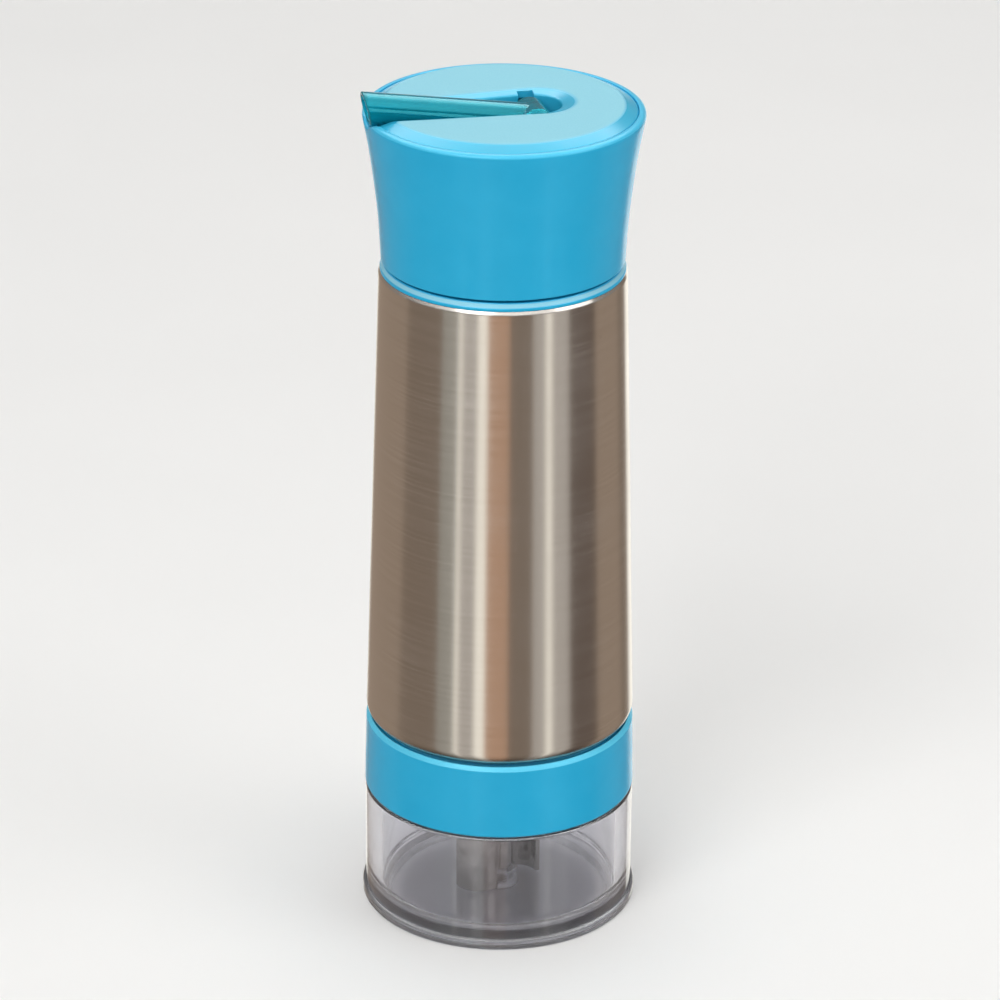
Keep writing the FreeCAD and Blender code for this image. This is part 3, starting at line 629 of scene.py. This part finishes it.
neckThread = {"crest": 28.75, "start": 188.0, "pitch": 4.0, "depth": 0.9, "floor": 0.65, "mouth": 1.2,
              "low": 186.4}
neckShape = {"skirt": 31.6, "skirtBore": 29.2, "skirtBottom": 169.8, "seal": 176.3, "groove": 30.33, "grooveHalf": 0.85,
             "flange": 32.1, "flangeBottom": 182.9, "flangeTop": 184.9, "slope": 1.4, "slopeShare": 0.75, "bore": 26.35,
             "top": 203.3, "skirtInside": 0.3, "skirtRound": 0.5, "flangeRound": 0.3, "neckRound": 0.6,
             "throatRound": 0.8}


def turnNeck(shape, thread):
    profile = roundedProfile([
        (shape["skirtBore"], shape["skirtBottom"], shape["skirtInside"]),
        (shape["skirt"], shape["skirtBottom"], shape["skirtRound"]),
        (shape["skirt"], shape["seal"] - shape["grooveHalf"]),
        (shape["groove"], shape["seal"] - shape["grooveHalf"]),
        (shape["groove"], shape["seal"] + shape["grooveHalf"]),
        (shape["skirt"], shape["seal"] + shape["grooveHalf"]),
        (shape["skirt"], shape["flangeBottom"]),
        (shape["flange"], shape["flangeBottom"]),
        (shape["flange"], shape["flangeTop"] - shape["slope"], shape["flangeRound"]),
        (shape["flange"] - shape["slopeShare"] * shape["slope"], shape["flangeTop"], shape["flangeRound"]),
        (thread["crest"], shape["flangeTop"], shape["neckRound"]),
        (thread["crest"], shape["top"], shape["neckRound"]),
        (shape["bore"], shape["top"], shape["neckRound"]),
        (shape["bore"], shape["flangeBottom"], shape["throatRound"]),
        (shape["skirtBore"], shape["flangeBottom"] - shape["skirtBore"] + shape["bore"], shape["throatRound"]),
    ])
    profile = spreadPoints(profile, threadStep, shape["flangeTop"], shape["top"], thread["crest"])
    return gridObject("neckCollar", turnedGrid(profile, ripple=threadGroove(thread)), aquaFlangeHighlight, wrapRows=True)


standIn(turnNeck(neckShape, neckThread), "bottle", "aqua_plastic", "neck_collar")
linerRidge = {"bore": 29.1, "depth": 0.75, "half": 0.7, "from": 2.45, "to": 3.55}
standIn(threadRidge("linerThread", neckThread, linerRidge, linerWhite), "lid", "liner_plastic")
print("neck turned")

# rim seals of cup and neck: flat silicone rings, inside the crests of the threads that pass them

cupSeal = {"name": "cupGasket", "inner": 32.2, "outer": 33.5, "low": 46.1, "high": 47.9, "edge": 0.4}
lidSeal = {"name": "lidGasket", "inner": 26.55, "outer": 28.2, "low": 203.4, "high": 205.0, "edge": 0.4}


def turnGasket(shape):
    corners = [(shape[side], shape[level], shape["edge"]) for side, level in
               (("inner", "low"), ("outer", "low"), ("outer", "high"), ("inner", "high"))]
    return gridObject(shape["name"], turnedGrid(roundedProfile(corners)), silicone, wrapRows=True)


standIn(turnGasket(cupSeal), "cup_seal", "silicone", "cup_gasket")
standIn(turnGasket(lidSeal), "lid_seal", "silicone", "lid_gasket")
print("rim seals turned")

# lid: flared shell, and a deck with the spout's slot, trough and sloping edges

slotShape = {"pivot": (7.6, 0.0, 222.2), "tilt": 8.5, "wide": 7.5, "narrow": 4.6, "reach": 47.2,
             "bevelWidth": 3.3, "bevelDepth": 1.0, "bevelShift": 1.5}
shellShape = {"bottom": 185.7, "lowRadius": 31.9, "middleRadius": 33.45, "rim": 36.6, "rimSide": 225.4, "top": 226.3,
              "rimRound": 1.2, "seat": 34.6, "ledge": 223.8, "ledgeRadius": 33.0, "ledgeBottom": 221.8, "wall": 1.5,
              "bendFrom": 217.0, "troughRoom": 1.8, "lowRound": 0.4, "seatRound": 0.25, "dropBlend": 0.12,
              "columns": 420, "even": 0.22}
deckShape = {"radius": 34.52, "flat": 30.8, "top": 227.8, "edge": 226.0, "seat": 223.9, "lip": 1.4, "under": 225.5,
             "wall": 1.6, "thinWall": 0.4, "thinRun": 4.0, "edgeRound": 0.45, "rimRound": 0.4, "crownBlend": 0.5,
             "bevelBlend": 0.06, "sideColumns": 72, "fanColumns": 62, "floorRows": 14, "wallRows": 5}

tilt = np.radians(slotShape["tilt"])
pivot = np.array(slotShape["pivot"])
alongSpout = np.array([-np.cos(tilt), 0, np.sin(tilt)])  # from the pivot to the mouth
acrossSpout = np.array([0.0, 1.0, 0.0])
overSpout = np.array([np.sin(tilt), 0, np.cos(tilt)])


def slotSection(x):
    # half width of the slot's round floor and height of the spout's axis, by place along the slot
    along = np.clip((pivot[0] - x) / np.cos(tilt), 0, None)
    half = slotShape["wide"] + (slotShape["narrow"] - slotShape["wide"]) * along / slotShape["reach"]
    return half, pivot[2] + along * np.sin(tilt)


def roundFloor(x, y, grow=0.0):
    # height of the slot's round floor, or of the outside of its trough with grow
    half, axis = slotSection(x)
    return axis - np.sqrt(np.clip((half + grow) ** 2 - y ** 2, 0, None))


def flankRadius(z, shape):
    # outside of the shell: one arc through the lower edge, the waist and the rim
    z0, z1 = shape["bottom"], shape["rimSide"]
    chord = shape["lowRadius"] + (shape["rim"] - shape["lowRadius"]) * (z - z0) / (z1 - z0)
    waist = (shape["lowRadius"] + shape["rim"]) / 2 - shape["middleRadius"]
    share = (z - z0) / (z1 - z0)
    return chord - 4 * waist * share * (1 - share)


def mouldShell(shape, slot):
    # the shell's profile carried round Z, sinking under the spout's mouth by the depth of the slot there
    flank = np.linspace(shape["bottom"], shape["rimSide"], 40)[1:-1]
    inner = np.linspace(shape["ledgeBottom"], shape["bottom"], 14)[1:-1]
    profile = roundedProfile([
        (shape["lowRadius"] - shape["wall"], shape["bottom"], shape["lowRound"]),
        (shape["lowRadius"], shape["bottom"], shape["lowRound"]),
        *[(flankRadius(z, shape), z) for z in flank],
        (shape["rim"], shape["top"], shape["rimRound"]),
        (shape["seat"], shape["top"], shape["seatRound"]),
        (shape["seat"], shape["ledge"]),
        (shape["ledgeRadius"], shape["ledge"]),
        (shape["ledgeRadius"], shape["ledgeBottom"]),
        (flankRadius(shape["ledgeBottom"], shape) - shape["wall"], shape["ledgeBottom"]),
        *[(flankRadius(z, shape) - shape["wall"], z) for z in inner],
    ], 6)
    share = np.linspace(-1, 1, shape["columns"], endpoint=False)
    crowd = shape["even"] * share + (1 - shape["even"]) * share ** 3  # columns are closest at the mouth
    angle = (np.pi * (1 + crowd))[None, :]
    radius, height = profile[:, :1] + 0 * angle, profile[:, 1:] + 0 * angle
    x, y = radius * np.cos(angle), abs(radius * np.sin(angle))
    half, axis = slotSection(x)
    lowEdge = shape["top"] - slot["bevelDepth"]
    opening = np.sqrt(np.clip(half ** 2 - (axis - lowEdge) ** 2, 0, None))
    sloped = lowEdge + slot["bevelDepth"] * (y - opening) / slot["bevelWidth"]
    mouth = np.where(y < opening, roundFloor(x, y), sloped)
    drop = np.where(x < 0, softRamp(shape["top"] - mouth, shape["dropBlend"]), 0)
    fade = np.clip((height - shape["bendFrom"]) / (shape["top"] - shape["bendFrom"]), 0, 1)
    ledgeDrop = np.where(x < 0, np.clip(shape["ledge"] - roundFloor(x, y, shape["troughRoom"]), 0, None), 0)
    ledge = (radius < shape["seat"] + slack) & (height > shape["ledgeBottom"] - slack)
    sunk = height - np.where(ledge & (height < shape["ledge"] + slack), ledgeDrop, drop * fade)
    outside = radius > shape["seat"] + slack
    before, after = [flankRadius(np.minimum(level, shape["rimSide"]), shape) for level in (height, sunk)]
    radius = radius + np.where(outside & (height > shape["bendFrom"]), after - before, 0)
    points = np.stack([radius * np.cos(angle), radius * np.sin(angle), sunk], -1)
    return gridObject("lidShell", points, aquaRimHighlight, wrapRows=True)


def deckHeight(shape, slot, radius, away, bevel):
    # crown by distance from the lid's axis, less the sloping edge by distance from the slot
    fall = (shape["top"] - shape["edge"]) / (shape["radius"] - shape["flat"])
    crown = shape["top"] - fall * softRamp(radius - shape["flat"], shape["crownBlend"])
    return crown - slot["bevelDepth"] * softRamp(1 - away / bevel, shape["bevelBlend"])


def hollowRows(centre, outward, half, top, floorRows, wallRows):
    # from the bottom line up the round floor to the axis, then straight up to a height
    lift = np.arcsin(np.clip((centre[:, 2] - top) / (half * np.cos(tilt)), 0, 0.98))
    swing = np.pi / 2 + np.linspace(0, 1, floorRows)[:, None] * (lift - np.pi / 2)
    floor = centre + half[:, None] * (np.cos(swing)[..., None] * outward - np.sin(swing)[..., None] * overSpout)
    wall = np.repeat(floor[-1:], wallRows, 0)
    rise = np.linspace(0, 1, wallRows + 1)[1:, None]
    wall[..., 2] = floor[-1, :, 2] + rise * np.clip(top - floor[-1, :, 2], 0, None)
    return np.concatenate([floor, wall])


def mouldDeck(shape, slot):
    # one section, from the trough's bottom over the deck to its rim and back underneath, carried along the
    # slot's edge: in along the near side, round the pivot, out along the far side
    start = 0.1
    for _ in range(6):
        half, axis = slotSection(-shape["radius"] * np.cos(start))
        edge = shape["edge"] - slot["bevelDepth"]
        start = np.arcsin(np.sqrt(half ** 2 - (axis - edge) ** 2) / shape["radius"])
    sweep = np.linspace(start, np.arccos(-pivot[0] / shape["radius"]), shape["sideColumns"])
    side = (pivot[0] + shape["radius"] * np.cos(sweep)) / np.cos(tilt)
    fan = np.linspace(-np.pi / 2, np.pi / 2, shape["fanColumns"])[1:-1]
    along = np.concatenate([side, 0 * fan, side[::-1]])
    turn = np.concatenate([0 * side - np.pi / 2, fan, 0 * side + np.pi / 2])
    outward = -np.cos(turn)[:, None] * alongSpout + np.sin(turn)[:, None] * acrossSpout
    plan = np.stack([np.cos(turn), np.sin(turn)], 1)
    centre = pivot + along[:, None] * alongSpout
    half = slot["wide"] + (slot["narrow"] - slot["wide"]) * along / slot["reach"]
    bevel = slot["bevelWidth"] + slot["bevelShift"] * np.cos(turn)
    outline = centre + half[:, None] * outward
    edgeTop = deckHeight(shape, slot, np.hypot(*outline[:, :2].T), 0 * half, bevel)
    rowCounts = shape["floorRows"], shape["wallRows"]
    inner = hollowRows(centre, outward, half, edgeTop - shape["edgeRound"], *rowCounts)
    foot = inner[-1, :, :2]
    lean = (foot * plan).sum(1)
    reach = -lean + np.sqrt(np.clip(lean ** 2 + shape["radius"] ** 2 - (foot ** 2).sum(1), 0, None))
    flatEnd = -lean + np.sqrt(np.clip(lean ** 2 + shape["flat"] ** 2 - (foot ** 2).sum(1), 0, None))
    flatEnd = np.where(np.hypot(*foot.T) < shape["flat"], flatEnd, 0)

    def topRows(away):
        spot = foot + away[..., None] * plan
        height = deckHeight(shape, slot, np.hypot(spot[..., 0], spot[..., 1]), away, bevel)
        return np.concatenate([spot, height[..., None]], -1)

    small = np.minimum(shape["edgeRound"], reach * 0.25)
    bend = np.linspace(0, np.pi / 2, 6)[1:, None]
    lip = topRows(small * (1 - np.cos(bend)))
    lip[..., 2] -= small * (1 - np.sin(bend))
    bevelEnd = np.minimum(bevel, reach * 0.5)
    slopeStart = np.clip(flatEnd - 0.6, bevelEnd + 0.1 * (reach - bevelEnd), None)
    rimStart = np.maximum(reach - shape["rimRound"], slopeStart + 0.5 * (reach - slopeStart))
    t = np.linspace(0, 1, 10)[1:, None]
    top = topRows(np.concatenate([small + t * (bevelEnd - small), bevelEnd + t * (slopeStart - bevelEnd),
                                  slopeStart + t * (rimStart - slopeStart)]))
    rim = topRows(rimStart + np.sin(bend) * (reach - rimStart))
    rim[..., 2] -= (reach - rimStart) * (1 - np.cos(bend))
    seat = np.repeat(rim[-1:], 3, 0)
    seat[..., 2] = np.linspace(0, 1, 4)[1:, None] * (shape["seat"] - rim[-1, :, 2]) + rim[-1, :, 2]
    tuck = foot + (reach - np.minimum(shape["lip"], reach * 0.35))[:, None] * plan
    ledge = np.stack([np.column_stack([tuck, 0 * reach + level]) for level in (shape["seat"], shape["under"])])
    wall = shape["thinWall"] + (shape["wall"] - shape["thinWall"]) * smoothStep(0, shape["thinRun"], reach)
    outer = hollowRows(centre, outward, half + wall, 0 * half + shape["under"], *rowCounts)[::-1]
    t = np.linspace(0, 1, 6)[1:-1, None, None]
    under = ledge[-1:] + t * (outer[:1] - ledge[-1:])
    rows = np.concatenate([inner, lip, top, rim, seat, ledge, under, outer])
    spread = np.maximum(np.hypot(rows[..., 0], rows[..., 1]) / shape["radius"], 1)  # nothing passes the rim
    rows[..., :2] /= spread[..., None]
    closed = (rows + rows[::-1]) / 2  # each end is drawn shut on its own middle line
    rows = np.concatenate([closed[:, :1], rows, closed[:, -1:]], 1)
    return gridObject("lidDeck", rows, aquaDeckPaintedSheen, wrapColumns=False, sharp=35)


def snapNotch(width, halfLength, high):
    # box from the pins up through the deck
    x, z = pivot[0] + np.array([-1, 1, 1, -1]) * width / 2, np.array([pivot[2], high])
    ring = np.stack([x, np.array([-1, -1, 1, 1]) * halfLength], 1)
    centre = np.array([[pivot[0], 0.0]]).repeat(4, 0)
    rows = [np.column_stack([spot, np.full(4, level)]) for spot, level in
            ((centre, z[0]), (ring, z[0]), (ring, z[1]), (centre, z[1]))]
    return gridObject("snapNotch", np.stack(rows), aqua)


standIn(mouldShell(shellShape, slotShape), "lid", "aqua_plastic", "lid_shell")
lidDeck = mouldDeck(deckShape, slotShape)
holeShape = {"seal": 5.1, "vent": 1.2, "ventX": -14.0, "ventSides": 32, "pin": 2.48, "pinReach": 9.1, "snap": 4.2}
low, high = 205.0, 232.0  # heights clear of the deck
joinShapes(lidDeck, [
    roundBar("sealHole", (pivot[0], 0, low), (pivot[0], 0, pivot[2]), holeShape["seal"]),
    roundBar("ventHole", (holeShape["ventX"], 0, low), (holeShape["ventX"], 0, pivot[2]), holeShape["vent"],
             holeShape["ventSides"]),
    roundBar("pinHole", pivot - holeShape["pinReach"] * acrossSpout, pivot + holeShape["pinReach"] * acrossSpout,
             holeShape["pin"]),
    snapNotch(holeShape["snap"], holeShape["pinReach"], high),
], "DIFFERENCE", 35)
standIn(lidDeck, "lid", "aqua_plastic", "lid_deck")
print("lid moulded")

# spout: tapered tube with a slanted mouth, on a barrel with two pins

spoutShape = {"length": 44.5, "root": 4.6, "tip": 4.45, "bore": 3.1, "slant": 21.0, "lip": 0.5, "barrel": 4.9,
              "ball": 6.9, "pin": 2.4, "pinEnd": 8.9, "behind": 9.8, "mouthRun": 6.0,
              "seam": 0.26, "seamLift": 12.0, "seamOver": 8.5, "seamUnder": 3.0}  # the last three in degrees


def spoutPoint(along, over, across):
    return pivot + along[..., None] * alongSpout + over[..., None] * overSpout + across[..., None] * acrossSpout


def mouldSpout(shape):
    # tube: radius by distance along the axis, with the mould's parting seam raised along both sides; its end is cut
    # on a slant and rounded
    close = np.radians(90 - shape["seamLift"] - np.linspace(-shape["seamUnder"], shape["seamOver"], 24))
    angle = np.concatenate([np.linspace(0, fullTurn, 96, endpoint=False), close, fullTurn - close])
    angle = np.sort(angle)[None, :]
    offSeam = np.degrees(np.arcsin(np.cos(angle))) - shape["seamLift"]  # degrees over the seam, round the tube
    slope = np.minimum(1 - offSeam / shape["seamOver"], 1 + offSeam / shape["seamUnder"])
    seam = 1 + shape["seam"] / shape["tip"] * np.clip(slope, 0, 1)
    lean = np.tan(np.radians(shape["slant"]))
    run = np.linspace(0, 0.92, 24)[:, None]
    taper = shape["root"] + (shape["tip"] - shape["root"]) * run
    end = shape["length"] + lean * np.cos(angle) * shape["tip"] - shape["lip"]
    bend = np.linspace(0, np.pi / 2, 7)[:, None]
    near = np.array([3.0, 0.4])[:, None]
    ringRadius = np.concatenate([0 * run[:1], taper, 0 * near + shape["tip"],
                                 shape["tip"] - shape["lip"] * (1 - np.cos(bend)), 0 * run[:1]])
    tubeEnd = end + shape["lip"] * np.sin(bend) - lean * np.cos(angle) * shape["lip"] * (1 - np.cos(bend))
    ringAlong = np.concatenate([0 * angle, run * (shape["length"] - shape["mouthRun"]) + 0 * angle, end - near, tubeEnd,
                                shape["length"] + 0 * angle])
    over, across = ringRadius * seam * np.cos(angle), ringRadius * seam * np.sin(angle)
    tube = gridObject("spout", spoutPoint(ringAlong, over, across), tealSpout)
    # barrel: a lathe shape across the lid, round-ended, with a pin at each end
    ballSpan = np.linspace(-1, 1, 25) * np.sqrt(shape["ball"] ** 2 - shape["pin"] ** 2)
    ballRadius = np.minimum(np.sqrt(shape["ball"] ** 2 - ballSpan ** 2), shape["barrel"])
    pinEnd = np.array([[0, 1], [shape["pin"] - 0.4, 1], [shape["pin"] - 0.1, 0.99], [shape["pin"], 0.955]])
    pinEnd = pinEnd * [1, shape["pinEnd"]]
    profile = np.concatenate([pinEnd * [1, -1], np.stack([ballRadius, ballSpan], 1), pinEnd[::-1]])
    across = profile[:, 1:] + 0 * angle
    barrel = gridObject("barrel", spoutPoint(profile[:, :1] * np.sin(angle), profile[:, :1] * np.cos(angle), across),
                        tealSpout)
    joinShapes(tube, [barrel], "UNION")
    # bore: straight, and widening in a rounded lip at the slanted mouth
    flare = np.array([0.0, 0.06, 0.25, 0.55, 1.4])[:, None]
    back = np.array([1.3, 0.7, 0.35, 0.1, -0.4])[:, None]
    boreEnd = shape["length"] + lean * np.cos(angle) * (shape["bore"] + flare) - back
    depth = np.linspace(-shape["behind"], shape["length"] - shape["mouthRun"], 28)[:, None]
    boreRadius = np.concatenate([0 * back[:1], 0 * depth + shape["bore"], shape["bore"] + flare, 0 * back[:1]])
    boreAlong = np.concatenate([0 * angle - shape["behind"], depth + 0 * angle, boreEnd,
                                0 * angle + shape["length"] + 0.4])
    bore = gridObject("bore", spoutPoint(boreAlong, boreRadius * np.cos(angle), boreRadius * np.sin(angle)), tealSpout)
    joinShapes(tube, [bore], "DIFFERENCE")
    return tube


standIn(mouldSpout(spoutShape), "spout", "spout_plastic", "spout")
print("spout moulded")

# floor

floorLook = {"reach": 3.0, "deep": "#F1F0EE", "pale": "#F8F7F5", "cloud": 180.0, "rough": 0.75}


def layFloor(look):
    # flat disc: radius by angle
    angle = np.linspace(0, fullTurn, 96, endpoint=False)[None, :]
    radius = np.linspace(0, look["reach"] / mm, 24)[:, None]
    points = np.stack([radius * np.cos(angle), radius * np.sin(angle), 0 * radius * angle], -1)
    material, tree, skin, place = startMaterial("paintedBoard")  # matt pale board with a faint cloudiness
    cloud = noiseAt(tree, place, look["cloud"])
    tone = mixTones(tree, cloud, look["deep"], look["pale"])
    setSockets(tree, skin, {"Roughness": look["rough"], "Base Color": tone})
    floor = gridObject("floor", points, material)
    floor.visible_glossy = False  # the steel mirrors the room, not the board it stands on


layFloor(floorLook)
print("floor laid")
